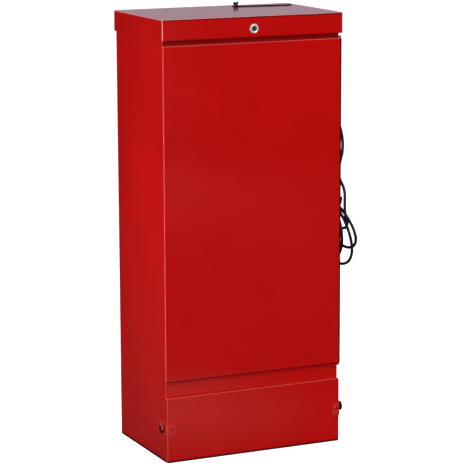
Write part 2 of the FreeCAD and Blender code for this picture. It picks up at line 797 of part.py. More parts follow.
nodes = {
    "floor_pan": floor_pan(),
    "left_side_panel": mirrored(side_panel()),
    "right_side_panel": right_side_panel(),
    "back_panel": back_panel(),
    "front_stiles": front_stiles(),
    "header_rail": front_rail(chamber_top, notch_bottom),
    "middle_rail": front_rail(fire_top, chamber_bottom),
    "bottom_rail": front_rail(sheet, fire_bottom),
    "top_rim": top_rim(),
    "lock_keeper": lock_keeper(),
    "chamber_floor": chamber_floor(),
    "rack_runners_left": mirrored(runners()),
    "rack_runners_right": runners(),
    "rack_lower": rack(levels[1]),
    "rack_middle": rack(levels[2]),
    "rack_upper": rack(levels[3]),
    "hanging_rods": hanging_rods(),
    "rod_rails": group([rod_rail(), mirrored(rod_rail())]),
    "drip_tray": drip_tray(),
    "heating_element": heating_element(),
    "element_saddle": element_saddle(),
    "terminal_box": terminal_box(),
    "tray_bars": tray_bars(),
    "sawdust_tray": sawdust_tray(),
    "sawdust_tray_handle": tray_handle(),
    "cable_duct": cable_duct(),
    "junction_box": junction_box(),
    "cable_gland": cable_gland(),
    "cord_boot": cord_boot(),
    "cord_lead": cord_lead(),
    "cord_coil": cord_coil(),
    "cord_tail": cord_tail(),
    "mains_plug": mains_plug(),
    "cord_hook": cord_hook(),
    "door_bracket_top": door_bracket(door_top + 2, door_top - skin - block_length),
    "door_bracket_bottom": door_bracket(door_bottom - 4, door_bottom + skin + block_length),
    "magnet_catches": magnet_catches(),
    "hinge_leaves_body": both_hinges(body_leaf),
    "lid_hinge_pins": both_hinges(lid_hinge_pin),
    "screw_nuts": group([screw_nut(), mirrored(screw_nut())]),
    "panel_rivets": panel_rivets(),
    "lid_shell": lid_shell(),
    "lid_seal": lid_seal(),
    "hinge_leaves_lid": both_hinges(lid_leaf),
    "damper_bolt": damper_bolt(),
    "damper_plate": damper_plate(),
    "wing_nut": wing_nut(),
    "lock_body": lock_body(),
    "lock_plug": lock_plug(),
    "lock_cam": lock_cam(),
    "door_shell": door_shell(),
    "door_liner": door_liner(),
    "door_pivot_blocks": door_pivot_blocks(),
    "door_seal": door_seal(),
    "door_strikers": door_strikers(),
    "lower_cover": lower_cover(),
    "cover_straps": group([cover_strap(), mirrored(cover_strap())]),
    "thumb_screw_left": mirrored(thumb_screw(0)),
    "thumb_screw_right": thumb_screw(loose_screw),
}

os.makedirs("parts", exist_ok=True)
for name, shape in nodes.items():
    if not shape.isValid():
        print(f"{name}: not valid")
    shape.exportStep(f"parts/{name}.step")
print(f"{len(nodes)} nodes")
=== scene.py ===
import json
import math
import bmesh
import bpy
from mathutils import Matrix, Vector


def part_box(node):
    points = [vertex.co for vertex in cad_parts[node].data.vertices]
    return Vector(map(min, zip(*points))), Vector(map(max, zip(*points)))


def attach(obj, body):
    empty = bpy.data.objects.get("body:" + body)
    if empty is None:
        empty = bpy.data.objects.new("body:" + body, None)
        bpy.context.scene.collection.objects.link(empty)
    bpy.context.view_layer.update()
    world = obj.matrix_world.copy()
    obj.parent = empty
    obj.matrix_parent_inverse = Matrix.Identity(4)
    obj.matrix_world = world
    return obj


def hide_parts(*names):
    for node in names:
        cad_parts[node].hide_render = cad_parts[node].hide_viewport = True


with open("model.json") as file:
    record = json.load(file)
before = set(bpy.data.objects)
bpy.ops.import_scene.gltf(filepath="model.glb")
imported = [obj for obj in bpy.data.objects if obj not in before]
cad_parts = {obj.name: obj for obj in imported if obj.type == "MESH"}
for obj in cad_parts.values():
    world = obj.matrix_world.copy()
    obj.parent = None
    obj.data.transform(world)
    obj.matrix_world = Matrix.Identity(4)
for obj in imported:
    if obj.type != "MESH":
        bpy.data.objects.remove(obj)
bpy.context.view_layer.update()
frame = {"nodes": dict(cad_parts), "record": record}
nodes = frame["nodes"]
print("frame loaded")


def addNode(tree, kind, **values):
    # a shader node with its settings and unlinked inputs filled in
    made = tree.nodes.new(kind)
    for key, value in values.items():
        if hasattr(made, key):
            setattr(made, key, value)
        else:
            made.inputs[key.replace("_", " ")].default_value = value
    return made


def linkNodes(tree, *pairs):
    for source, target in pairs:
        tree.links.new(source, target)


def addRamp(tree, *stops):
    # a colour ramp through stops of (place, colour)
    ramp = tree.nodes.new("ShaderNodeValToRGB")
    band = ramp.color_ramp
    while len(band.elements) < len(stops):
        band.elements.new(0.5)
    for element, (place, colour) in zip(band.elements, stops):
        element.position = place
        element.color = colour
    return ramp


def addGloss(tree, gloss, start=0.3, end=0.7):
    # a ramp between two roughnesses
    return addRamp(tree, (start, grey(gloss[0])), (end, grey(gloss[1])))


def addMix(tree, second):
    # a colour mix whose second colour is set; its first colour's socket comes with it
    mix = addNode(tree, "ShaderNodeMix", data_type="RGBA")
    colours = [socket for socket in mix.inputs if socket.type == "RGBA"]
    colours[1].default_value = second
    return mix, colours[0]


def addFade(tree, value, start, end):
    # 0 before the start and 1 past the end
    fade = addNode(tree, "ShaderNodeMapRange", From_Min=start, From_Max=end)
    linkNodes(tree, (value, fade.inputs["Value"]))
    return fade.outputs["Result"]


def addMath(tree, operation, first, second):
    node = addNode(tree, "ShaderNodeMath", operation=operation)
    linkNodes(tree, (first, node.inputs[0]))
    if isinstance(second, (int, float)):
        node.inputs[1].default_value = second
    else:
        linkNodes(tree, (second, node.inputs[1]))
    return node.outputs[0]


def grey(value):
    return (value, value, value, 1)


def rgb(red, green, blue):
    return (red, green, blue, 1)


def newGroup(name, inputs, outputs):
    # an empty shader group with number inputs and outputs
    tree = bpy.data.node_groups.new(name, "ShaderNodeTree")
    for label, value in inputs.items():
        socket = tree.interface.new_socket(label, in_out="INPUT", socket_type="NodeSocketFloat")
        socket.default_value = value
    for label in outputs:
        tree.interface.new_socket(label, in_out="OUTPUT", socket_type="NodeSocketFloat")
    return tree, tree.nodes.new("NodeGroupInput"), tree.nodes.new("NodeGroupOutput")


def useGroup(tree, group, **values):
    made = tree.nodes.new("ShaderNodeGroup")
    made.node_tree = group
    for key, value in values.items():
        made.inputs[key].default_value = value
    return made


def newMaterial(name, **settings):
    material = bpy.data.materials.new(name)
    material.use_nodes = True
    tree = material.node_tree
    shader = tree.nodes["Principled BSDF"]
    for key, value in settings.items():
        shader.inputs[key.replace("_", " ")].default_value = value
    return material, tree, shader


def addBump(tree, shader, height, strength, distance=0.0002):
    # a height as relief of the given depth in metres
    bump = addNode(tree, "ShaderNodeBump", Strength=strength, Distance=distance)
    linkNodes(
        tree,
        (height, bump.inputs["Height"]),
        (bump.outputs["Normal"], shader.inputs["Normal"]),
    )


def finishPiece(bm, name, material, body, sharpAngle=35):
    # turns a bmesh into a smooth piece that rides on a body
    mesh = bpy.data.meshes.new(name)
    bm.to_mesh(mesh)
    bm.free()
    piece = bpy.data.objects.new(name, mesh)
    bpy.context.collection.objects.link(piece)
    mesh.materials.append(material)
    mesh.shade_smooth()
    mesh.set_sharp_from_angle(angle=math.radians(sharpAngle))
    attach(piece, body)
    return piece


def turnProfile(bm, outline, steps):
    # spins an outline of (radius, height) points round Z and closes its poles
    corners = [bm.verts.new((radius, 0, height)) for radius, height in outline]
    edges = [bm.edges.new(pair) for pair in zip(corners, corners[1:])]
    made = corners + edges
    bmesh.ops.spin(
        bm, geom=made, cent=(0, 0, 0), axis=(0, 0, 1), angle=math.tau, steps=steps, use_merge=True
    )
    bmesh.ops.remove_doubles(bm, verts=bm.verts[:], dist=1e-6)
    bmesh.ops.recalc_face_normals(bm, faces=bm.faces[:])


def placeMesh(bm, point, direction):
    # turns +Z to a direction and moves the mesh to a point
    turn = Vector((0, 0, 1)).rotation_difference(Vector(direction)).to_matrix().to_4x4()
    bmesh.ops.transform(bm, matrix=Matrix.Translation(point) @ turn, verts=bm.verts[:])


def bevelEdges(bm, edges, width, segments):
    bmesh.ops.bevel(
        bm, geom=edges, offset=width, segments=segments, profile=0.5, affect="EDGES", material=-1
    )


def addMesh(bm, extra):
    # adds a mesh to one that already has something in it
    holder = bpy.data.meshes.new("holder")
    extra.to_mesh(holder)
    extra.free()
    bm.from_mesh(holder)
    bpy.data.meshes.remove(holder)


def addTurned(bm, outline, steps, point=(0, 0, 0), direction=(0, 0, 1)):
    # adds a turned shape that stands on a point and faces a direction
    extra = bmesh.new()
    turnProfile(extra, outline, steps)
    placeMesh(extra, point, direction)
    addMesh(bm, extra)


def newBlock(size, bevel):
    # a small block with soft edges, centred on the origin
    block = bmesh.new()
    bmesh.ops.create_cube(block, size=1)
    bmesh.ops.scale(block, vec=size, verts=block.verts[:])
    bevelEdges(block, block.edges[:], width=bevel, segments=2)
    return block


def shift(bm, vector):
    bmesh.ops.translate(bm, vec=vector, verts=bm.verts[:])


def rotate(bm, degrees, axis):
    turn = Matrix.Rotation(math.radians(degrees), 3, axis)
    bmesh.ops.rotate(bm, cent=(0, 0, 0), matrix=turn, verts=bm.verts[:])


def raiseRing(bm, edges):
    # extrudes a ring of edges and gives the new ring's points and edges
    made = bmesh.ops.extrude_edge_only(bm, edges=edges)["geom"]
    points = [item for item in made if isinstance(item, bmesh.types.BMVert)]
    sides = [item for item in made if isinstance(item, bmesh.types.BMEdge)]
    return points, [edge for edge in sides if all(vert in points for vert in edge.verts)]


def paint(material, node):
    for entry in nodes[node].material_slots:
        entry.material = material


view = {
    "place": (-2.062, -4.499, 1.429),
    "yaw": 24.80,  # degrees, as pitch and roll
    "pitch": 10.82,
    "roll": 0.20,
    "lens": 167.04,
}


def buildCamera():
    bpy.context.scene.view_settings.view_transform = "Standard"
    data = bpy.data.cameras.new("camera")
    data.sensor_width = 36
    data.lens = view["lens"]
    data.clip_end = 60
    camera = bpy.data.objects.new("camera", data)
    bpy.context.collection.objects.link(camera)
    yaw = Matrix.Rotation(-math.radians(view["yaw"]), 4, "Z")
    pitch = Matrix.Rotation(math.radians(90 - view["pitch"]), 4, "X")
    roll = Matrix.Rotation(-math.radians(view["roll"]), 4, "Z")
    camera.matrix_world = Matrix.Translation(view["place"]) @ yaw @ pitch @ roll
    bpy.context.scene.camera = camera


buildCamera()
print("camera set")


def grainGroup():
    # fine cloudy grain: a height for bumps and a mask for colour and gloss
    start = {"Scale": 400.0, "Detail": 3.0}
    tree, inside, outside = newGroup("fineGrain", start, ("Height", "Mask"))
    place = addNode(tree, "ShaderNodeTexCoord")
    fine = addNode(tree, "ShaderNodeTexNoise")
    broad = addNode(tree, "ShaderNodeTexNoise", Detail=2.0)
    cloudSize = 40  # grains across one cloud
    broadScale = addMath(tree, "DIVIDE", inside.outputs["Scale"], cloudSize)
    linkNodes(
        tree,
        (place.outputs["Object"], fine.inputs["Vector"]),
        (place.outputs["Object"], broad.inputs["Vector"]),
        (inside.outputs["Scale"], fine.inputs["Scale"]),
        (inside.outputs["Detail"], fine.inputs["Detail"]),
        (broadScale, broad.inputs["Scale"]),
        (fine.outputs["Fac"], outside.inputs["Height"]),
        (broad.outputs["Fac"], outside.inputs["Mask"]),
    )
    return tree


def brushGroup():
    # long fine scratches along one way
    start = {"Fineness": 900.0, "Stretch": 0.02}
    tree, inside, outside = newGroup("brushedLines", start, ("Height", "Mask"))
    place = addNode(tree, "ShaderNodeTexCoord")
    squeeze = addNode(tree, "ShaderNodeCombineXYZ", Y=1.0, Z=1.0)
    scaled = addNode(tree, "ShaderNodeVectorMath", operation="MULTIPLY")
    lines = addNode(tree, "ShaderNodeTexNoise", Detail=2.0)
    cloud = addNode(tree, "ShaderNodeTexNoise", Scale=14.0, Detail=3.0)
    linkNodes(
        tree,
        (inside.outputs["Stretch"], squeeze.inputs["X"]),
        (place.outputs["Object"], scaled.inputs[0]),
        (squeeze.outputs[0], scaled.inputs[1]),
        (scaled.outputs[0], lines.inputs["Vector"]),
        (inside.outputs["Fineness"], lines.inputs["Scale"]),
        (place.outputs["Object"], cloud.inputs["Vector"]),
        (lines.outputs["Fac"], outside.inputs["Height"]),
        (cloud.outputs["Fac"], outside.inputs["Mask"]),
    )
    return tree


def bendGroup():
    # finds bent edges: where the surface faces none of the three main directions
    tree, inside, outside = newGroup("bentEdge", {"Start": 0.985, "End": 0.86}, ("Mask",))
    place = addNode(tree, "ShaderNodeTexCoord")
    size = addNode(tree, "ShaderNodeVectorMath", operation="ABSOLUTE")
    parts = addNode(tree, "ShaderNodeSeparateXYZ")
    fade = addNode(tree, "ShaderNodeMapRange")
    linkNodes(tree, (place.outputs["Normal"], size.inputs[0]), (size.outputs[0], parts.inputs[0]))
    wider = addMath(tree, "MAXIMUM", parts.outputs["X"], parts.outputs["Y"])
    widest = addMath(tree, "MAXIMUM", wider, parts.outputs["Z"])
    linkNodes(
        tree,
        (widest, fade.inputs["Value"]),
        (inside.outputs["Start"], fade.inputs["From Min"]),
        (inside.outputs["End"], fade.inputs["From Max"]),
        (fade.outputs["Result"], outside.inputs["Mask"]),
    )
    return tree


# where painted shade falls on the enamelled sheet: pairs give where the shade starts and where it
# is full
shading = {
    "foot": (0.0075, 0.003),  # height above the floor
    "turned": (0.05, 0.25),  # how far a bend faces right, back or down
    "flat": (0.998, 0.97),  # flat faces stay unshaded
    "facing": (-0.6, -0.8),  # how far a face looks to the front or the left
    "upright": (-0.86, -0.94),  # the front bend where it is nearly upright
    "rimWidth": 0.0012,
    "gapFoot": (0.9420, 0.9424),  # heights at the foot and the top of the gap below the lid
    "gapTop": (0.956, 0.954),
    "gapShade": 0.5,  # the gap's share of the full shade
}
# where the right and rear rims and the front bend's line start, in metres;
# 2 is past the whole object, so nothing is shaded, and -1 is before it, so all of it is
rims = {
    "body": {"Right": 0.2145, "Rear": 0.1365, "Crown": 2.0},
    "lid": {"Right": 0.2185, "Rear": 0.138, "Crown": 0.9958},
    "plate": {"Right": -1.0, "Rear": -1.0, "Crown": 2.0},
    "none": {"Right": 2.0, "Rear": 2.0, "Crown": 2.0},
}


def shadeGroup():
    # painted shade on bends that turn to the right, the back or down, on the right and rear rims
    # and the foot, a line under the front bend and the gap below the lid
    tree, inside, outside = newGroup("shadedEdge", rims["body"], ("Mask",))
    place = addNode(tree, "ShaderNodeTexCoord")
    facing = addNode(tree, "ShaderNodeSeparateXYZ")
    at = addNode(tree, "ShaderNodeSeparateXYZ")
    linkNodes(
        tree,
        (place.outputs["Normal"], facing.inputs[0]),
        (place.outputs["Object"], at.inputs[0]),
    )
    below = addMath(tree, "MULTIPLY", facing.outputs["Z"], -1)
    masks = [addFade(tree, at.outputs["Z"], *shading["foot"])]
    for side in (facing.outputs["X"], facing.outputs["Y"], below):
        turned = addFade(tree, side, *shading["turned"])
        masks.append(addMath(tree, "MULTIPLY", turned, addFade(tree, side, *shading["flat"])))
    front = addFade(tree, facing.outputs["Y"], *shading["facing"])
    left = addFade(tree, facing.outputs["X"], *shading["facing"])
    upright = addFade(tree, facing.outputs["Y"], *shading["upright"])
    edges = (("X", "Right", front), ("Y", "Rear", left), ("Z", "Crown", upright))
    for axis, name, seenFrom in edges:
        past = addMath(tree, "SUBTRACT", at.outputs[axis], inside.outputs[name])
        rim = addFade(tree, past, 0, shading["rimWidth"])
        masks.append(addMath(tree, "MULTIPLY", rim, seenFrom))
    gapFoot = addFade(tree, at.outputs["Z"], *shading["gapFoot"])
    gap = addMath(tree, "MULTIPLY", gapFoot, addFade(tree, at.outputs["Z"], *shading["gapTop"]))
    gapFront = addMath(tree, "MULTIPLY", gap, front)
    masks.append(addMath(tree, "MULTIPLY", gapFront, shading["gapShade"]))
    found = masks[0]
    for mask in masks[1:]:
        found = addMath(tree, "MAXIMUM", found, mask)
    linkNodes(tree, (found, outside.inputs["Mask"]))
    return tree


fineGrain = grainGroup()
bentEdge = bendGroup()
shadedEdge = shadeGroup()
brushedLines = brushGroup()
print("effects ready")

enamel = {
    "red": rgb(0.60, 0.0035, 0.003),
    "deep": rgb(0.54, 0.003, 0.0025),
    # the next two colours are painted highlights laid along the bends
    "edge": rgb(0.78, 0.10, 0.08),
    "lidEdgeHighlight": rgb(0.84, 0.36, 0.36),
    # the painted shade colour
    "shade": rgb(0.02, 0.001, 0.001),
    "gloss": (0.26, 0.34),
    "lidGloss": (0.2, 0.28),
}


def enamelMaterial(
    name, bright=enamel["red"], deep=enamel["deep"], gloss=enamel["gloss"], coat=0.8,
    edge=enamel["edge"], highlightShare=0.55, rim=rims["body"],
):
    # baked red enamel: faint cloudiness, orange peel and a clear gloss, with a lighter painted
    # highlight on bends and a dark painted shade where the shade mask falls
    material, tree, shader = newMaterial(
        name, Coat_Weight=coat, Coat_Roughness=0.1, Specular_IOR_Level=0.1
    )
    peel = useGroup(tree, fineGrain, Scale=260.0, Detail=2.0)
    bend = useGroup(tree, bentEdge)
    shade = useGroup(tree, shadedEdge, **rim)
    tone = addRamp(tree, (0.3, deep), (0.7, bright))
    shine = addGloss(tree, gloss, start=0.25, end=0.75)
    highlight, highlightFrom = addMix(tree, edge)
    darken, darkenFrom = addMix(tree, enamel["shade"])
    film = addNode(tree, "ShaderNodeMapRange", To_Min=coat, To_Max=0)
    linkNodes(
        tree,
        (shade.outputs["Mask"], film.inputs["Value"]),
        (film.outputs["Result"], shader.inputs["Coat Weight"]),
        (peel.outputs["Mask"], tone.inputs["Fac"]),
        (tone.outputs["Color"], highlightFrom),
        # painted highlight: the lighter colour laid along every bend
        (addMath(tree, "MULTIPLY", bend.outputs["Mask"], highlightShare), highlight.inputs["Factor"]),
        (highlight.outputs[2], darkenFrom),
        # painted shade: the shade mask darkens the colour
        (shade.outputs["Mask"], darken.inputs["Factor"]),
        (darken.outputs[2], shader.inputs["Base Color"]),
        (peel.outputs["Mask"], shine.inputs["Fac"]),
        (shine.outputs["Color"], shader.inputs["Roughness"]),
    )
    addBump(tree, shader, peel.outputs["Height"], strength=0.1, distance=0.0003)
    return material


def linkSurface(tree, shader, tone, toneMask, shine, shineMask):
    # a tone ramp for the colour and a gloss ramp for the roughness, each read by its mask
    linkNodes(
        tree,
        (toneMask, tone.inputs["Fac"]),
        (tone.outputs["Color"], shader.inputs["Base Color"]),
        (shineMask, shine.inputs["Fac"]),
        (shine.outputs["Color"], shader.inputs["Roughness"]),
    )


def steelMaterial(name, bright, dark, gloss, fineness, strength, metallic=1.0):
    # rolled or drawn steel with fine lines and slow clouds
    material, tree, shader = newMaterial(name, Metallic=metallic)
    brushed = useGroup(tree, brushedLines, Fineness=fineness, Stretch=0.03)
    tone = addRamp(tree, (0.3, dark), (0.7, bright))
    shine = addGloss(tree, gloss)
    linkSurface(tree, shader, tone, brushed.outputs["Mask"], shine, brushed.outputs["Height"])
    addBump(tree, shader, brushed.outputs["Height"], strength)
    return material


def zincMaterial():
    # galvanised sheet with its frost-like crystals
    material, tree, shader = newMaterial("zincSteel", Metallic=1.0)
    place = addNode(tree, "ShaderNodeTexCoord")
    crystals = addNode(tree, "ShaderNodeTexVoronoi", Scale=90.0, Randomness=1.0)
    tone = addRamp(tree, (0.1, rgb(0.50, 0.51, 0.52)), (0.9, rgb(0.72, 0.72, 0.71)))
    shine = addGloss(tree, (0.28, 0.46), start=0.1, end=0.9)
    grain = useGroup(tree, fineGrain, Scale=1200.0, Detail=2.0)
    parts = addNode(tree, "ShaderNodeSeparateColor")
    linkNodes(
        tree,
        (place.outputs["Object"], crystals.inputs["Vector"]),
        (crystals.outputs["Color"], parts.inputs["Color"]),
    )
    linkSurface(tree, shader, tone, parts.outputs["Red"], shine, parts.outputs["Green"])
    addBump(tree, shader, grain.outputs["Height"], strength=0.08)
    return material


def sheathMaterial():
    # a heater's steel skin, tinted brown and blue by heat
    material, tree, shader = newMaterial("heaterSheath", Metallic=1.0)
    heat = useGroup(tree, fineGrain, Scale=900.0, Detail=4.0)
    tone = addRamp(
        tree,
        (0.25, rgb(0.07, 0.06, 0.06)),
        (0.45, rgb(0.20, 0.13, 0.08)),
        (0.6, rgb(0.13, 0.13, 0.17)),
        (0.8, rgb(0.24, 0.21, 0.18)),
    )
    shine = addGloss(tree, (0.38, 0.6))
    linkSurface(tree, shader, tone, heat.outputs["Mask"], shine, heat.outputs["Height"])
    addBump(tree, shader, heat.outputs["Height"], strength=0.15)
    return material


def mouldedMaterial(name, light, dark, gloss, scale, strength):
    # moulded plastic, rubber or silicone with a fine even grain
    material, tree, shader = newMaterial(name, Specular_IOR_Level=0.4)
    grain = useGroup(tree, fineGrain, Scale=scale, Detail=3.0)
    tone = addRamp(tree, (0.3, dark), (0.7, light))
    shine = addGloss(tree, gloss)
    linkSurface(tree, shader, tone, grain.outputs["Mask"], shine, grain.outputs["Mask"])
    addBump(tree, shader, grain.outputs["Height"], strength)
    return material


redEnamel = enamelMaterial("redEnamel")
# the lid's red, with a paler painted highlight on its bends
lidEnamel = enamelMaterial(
    "lidEnamel", gloss=enamel["lidGloss"], coat=1.0, edge=enamel["lidEdgeHighlight"], highlightShare=0.9,
    rim=rims["lid"],
)
# the damper plate's red, with painted shade on all its front and left faces for the dark line along
# its edge
damperEnamel = enamelMaterial(
    "damperEnamel", gloss=enamel["lidGloss"], coat=1.0, rim=rims["plate"]
)
# a far darker copy of the red for the thumb screw heads: painted shade
screwShadedEnamel = enamelMaterial(
    "screwShadedEnamel", rgb(0.16, 0.003, 0.003), rgb(0.10, 0.002, 0.002), (0.32, 0.42), coat=0.4
)
# a lighter, pinker copy of the body's red for the cover straps: painted light
strapLitEnamel = enamelMaterial(
    "strapLitEnamel", rgb(0.64, 0.022, 0.02), rgb(0.56, 0.014, 0.012), rim=rims["none"]
)
zincSteel = zincMaterial()
stainlessWire = steelMaterial(
    "stainlessWire", rgb(0.70, 0.69, 0.67), rgb(0.58, 0.57, 0.56),
    gloss=(0.18, 0.30), fineness=1500.0, strength=0.05,
)
traySteel = steelMaterial(
    "traySteel", rgb(0.62, 0.61, 0.59), rgb(0.48, 0.47, 0.46),
    gloss=(0.26, 0.40), fineness=1100.0, strength=0.08,
)
# the ring's near-white, half-metal base is a painted reflection standing in for the chrome's mirror
# shine
lockChrome = steelMaterial(
    "lockChrome", rgb(0.98, 0.98, 0.98), rgb(0.92, 0.92, 0.93),
    gloss=(0.28, 0.38), fineness=2600.0, strength=0.02, metallic=0.5,
)
# the lock's plug, painted dark: painted shade on chrome in the bore
lockCoreShaded = steelMaterial(
    "lockCoreShaded", rgb(0.16, 0.155, 0.15), rgb(0.08, 0.08, 0.08),
    gloss=(0.30, 0.42), fineness=2600.0, strength=0.03,
)
darkSteel = steelMaterial(
    "darkSteel", rgb(0.055, 0.05, 0.05), rgb(0.025, 0.023, 0.023),
    gloss=(0.34, 0.5), fineness=1800.0, strength=0.08,
)
heaterSheath = sheathMaterial()
blackRubber = mouldedMaterial(
    "blackRubber", rgb(0.014, 0.014, 0.015), rgb(0.008, 0.008, 0.009),
    gloss=(0.42, 0.55), scale=900.0, strength=0.08,
)
blackPlastic = mouldedMaterial(
    "blackPlastic", rgb(0.026, 0.026, 0.028), rgb(0.017, 0.017, 0.018),
    gloss=(0.38, 0.5), scale=1600.0, strength=0.12,
)
silicone = mouldedMaterial(
    "silicone", rgb(0.20, 0.03, 0.022), rgb(0.14, 0.022, 0.017),
    gloss=(0.5, 0.62), scale=700.0, strength=0.08,
)
magnetGrey = mouldedMaterial(
    "magnetGrey", rgb(0.09, 0.088, 0.086), rgb(0.05, 0.05, 0.05),
    gloss=(0.45, 0.6), scale=1400.0, strength=0.2,
)

finishes = {
    "red_paint": redEnamel,
    "red_paint_dark": screwShadedEnamel,
    "zinc_steel": zincSteel,
    "stainless_wire": stainlessWire,
    "tray_steel": traySteel,
    "heater_sheath": heaterSheath,
    "black_rubber": blackRubber,
    "black_plastic": blackPlastic,
    "silicone": silicone,
    "lock_chrome": lockChrome,
    "dark_steel": darkSteel,
    "magnet": magnetGrey,
}
for row in frame["record"]["subparts"]:
    paint(finishes[row["material_slot"]], row["node"])
paint(lidEnamel, "lid_shell")
paint(lockCoreShaded, "lock_plug")
paint(strapLitEnamel, "cover_straps")
paint(damperEnamel, "damper_plate")
print("materials ready")

cordFacts = {
    "radius": 0.0035,
    "length": 2.2,
    "hookY": -0.052,
    "coilTop": 0.549,
    "stepsPerTurn": 12,
    "leadSteps": 4,  # the lead takes the place of the first turn's start
    "frontLean": 1.5,  # a turn leans further out on its front half
}
# from the gland out, down and forward to the hook
cordLead = [
    (0.2255, 0.070, 0.770),
    (0.247, 0.070, 0.770),
    (0.263, 0.070, 0.770),
    (0.280, 0.066, 0.764),
    (0.293, 0.059, 0.752),
    (0.301, 0.047, 0.736),
    (0.304, 0.031, 0.716),
    (0.301, 0.013, 0.697),
    (0.294, -0.006, 0.678),
    (0.284, -0.022, 0.658),
    (0.270, -0.036, 0.639),
    (0.261, -0.045, 0.618),
    (0.258, -0.061, 0.602),
    (0.257, -0.079, 0.591),
    (0.254, -0.094, 0.576),
    (0.249, -0.102, 0.556),
    (0.247, -0.108, 0.528),
]
# from the hook down to the plug
cordTail = [
    (0.230, -0.052, 0.549),
    (0.230, -0.074, 0.543),
    (0.231, -0.087, 0.524),
    (0.232, -0.089, 0.500),
    (0.234, -0.084, 0.474),
    (0.236, -0.076, 0.447),
    (0.237, -0.070, 0.420),
    (0.238, -0.066, 0.398),
    (0.239, -0.063, 0.370),
    (0.239, -0.061, 0.341),
    (0.238, -0.060, 0.312),
]
# loose turns on the hook, outermost first: how low, far forward and far back each one goes,
# how far out it is at the hook and at its foot, and its sideways lean
cordTurns = [
    {"low": 0.491, "front": -0.112, "back": -0.042, "atHook": 0.254, "below": 0.258, "lean": 0.003},
    {"low": 0.442, "front": -0.120, "back": -0.024, "atHook": 0.248, "below": 0.275, "lean": 0.011},
    {"low": 0.402, "front": -0.118, "back": -0.008, "atHook": 0.242, "below": 0.263, "lean": 0.012},
    {"low": 0.420, "front": -0.106, "back": -0.006, "atHook": 0.236, "below": 0.246, "lean": 0.003},
    {"low": 0.412, "front": -0.098, "back": 0.000, "atHook": 0.230, "below": 0.238, "lean": 0.002},
]


def turnPoint(turn, following, step):
    # a point on a turn that hangs from the hook and moves over towards the next one
    share = step / cordFacts["stepsPerTurn"]
    angle = math.tau * share
    drop = (1 - math.cos(angle)) / 2
    reach = (turn["back"] - turn["front"]) / 2
    middle = (turn["back"] + turn["front"]) / 2
    x = turn["atHook"] + (following["atHook"] - turn["atHook"]) * share
    x += (turn["below"] - turn["atHook"]) * drop
    x += turn["lean"] * math.sin(angle) * drop * (cordFacts["frontLean"] if share < 0.5 else 1)
    y = cordFacts["hookY"] + (middle - cordFacts["hookY"]) * drop - reach * math.sin(angle)
    z = cordFacts["coilTop"] - (cordFacts["coilTop"] - turn["low"]) * drop
    return (x, y, z)


def buildCord():
    points = list(cordLead)
    firstStep = cordFacts["leadSteps"]
    for index, turn in enumerate(cordTurns):
        following = cordTurns[min(index + 1, len(cordTurns) - 1)]
        for step in range(firstStep, cordFacts["stepsPerTurn"]):
            points.append(turnPoint(turn, following, step))
        firstStep = 0
    points += cordTail
    data = bpy.data.curves.new("mainsCord", "CURVE")
    data.dimensions = "3D"
    data.bevel_depth = cordFacts["radius"]
    data.bevel_resolution = 4
    data.use_fill_caps = True
    data.resolution_u = 8
    line = data.splines.new("NURBS")
    line.points.add(len(points) - 1)
    for place, point in zip(line.points, points):
        place.co = (*point, 1)
    line.order_u = 3
    line.use_endpoint_u = True
    cord = bpy.data.objects.new("mainsCord", data)
    bpy.context.collection.objects.link(cord)
    data.materials.append(blackRubber)
    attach(cord, "cabinet")
    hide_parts("cord_lead", "cord_coil", "cord_tail")
    return cord


cord = buildCord()
print("cord laid")

boot = {
    "end": 0.2470,
    "wide": 0.0058,
    "narrow": 0.0042,
    "tip": 0.0006,
    "rings": 5,
    "groove": 0.00056,
}
bootGroove = (0.62, 0.70, 0.92, 1.0)  # where a groove starts, is full, stops being full and ends


def buildBoot():
    # tapered strain relief with ring grooves
    bm = bmesh.new()
    start, end = cordLead[0][0], boot["end"]
    length, core = end - start, cordFacts["radius"]
    wide, narrow, tip = boot["wide"], boot["narrow"], boot["tip"]
    outline = [(core, 0), (wide, 0)]
    pitch = length / (boot["rings"] + 1)
    for ring in range(boot["rings"]):
        for share in bootGroove:
            height = (ring + share) * pitch
            sink = boot["groove"] if share in bootGroove[1:3] else 0
            outline.append((wide + (narrow - wide) * height / length - sink, height))
    outline += [(narrow, length - tip), (narrow - tip / 2, length), (core, length)]
    turnProfile(bm, outline, steps=32)
    placeMesh(bm, cordLead[0], (1, 0, 0))
    piece = finishPiece(bm, "cordBoot", blackRubber, "cabinet")
    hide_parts("cord_boot")
    return piece


plug = {"pin": 0.0024, "pinLength": 0.019, "spacing": 0.019, "foot": 0.044}
# half outlines as (radius, height) points: the round plug from its cord down, and a pin
plugOutline = [
    (0.0034, 0), (0.0048, 0), (0.0052, 0.0012), (0.0056, 0.006), (0.0048, 0.0068),
    (0.0050, 0.0084), (0.0062, 0.0092), (0.0070, 0.014), (0.0095, 0.0175), (0.0150, 0.0192),
    (0.0160, 0.0202), (0.0177, 0.0212), (0.0185, 0.0235), (0.0180, 0.0275), (0.0173, 0.031),
    (0.0180, 0.0345), (0.0185, 0.038), (0.0181, 0.0428), (0.0169, 0.044), (0, 0.044),
]


def buildPlug():
    # round two-pin plug with a ribbed waist, hanging with its pins down
    bm = bmesh.new()
    turnProfile(bm, plugOutline, steps=64)
    radius, length = plug["pin"], plug["pinLength"]
    collar = radius + 0.0004
    pinOutline = [
        (0, 0), (collar, 0), (collar, 0.0006), (radius, 0.0008),
        (radius, length - 0.0012), (radius - 0.0009, length), (0, length),
    ]
    for side in (-1, 1):
        addTurned(bm, pinOutline, 24, (0, side * plug["spacing"] / 2, plug["foot"]))
    placeMesh(bm, cordTail[-1], (0, 0, -1))
    piece = finishPiece(bm, "mainsPlug", blackPlastic, "cabinet")
    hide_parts("mains_plug")
    return piece


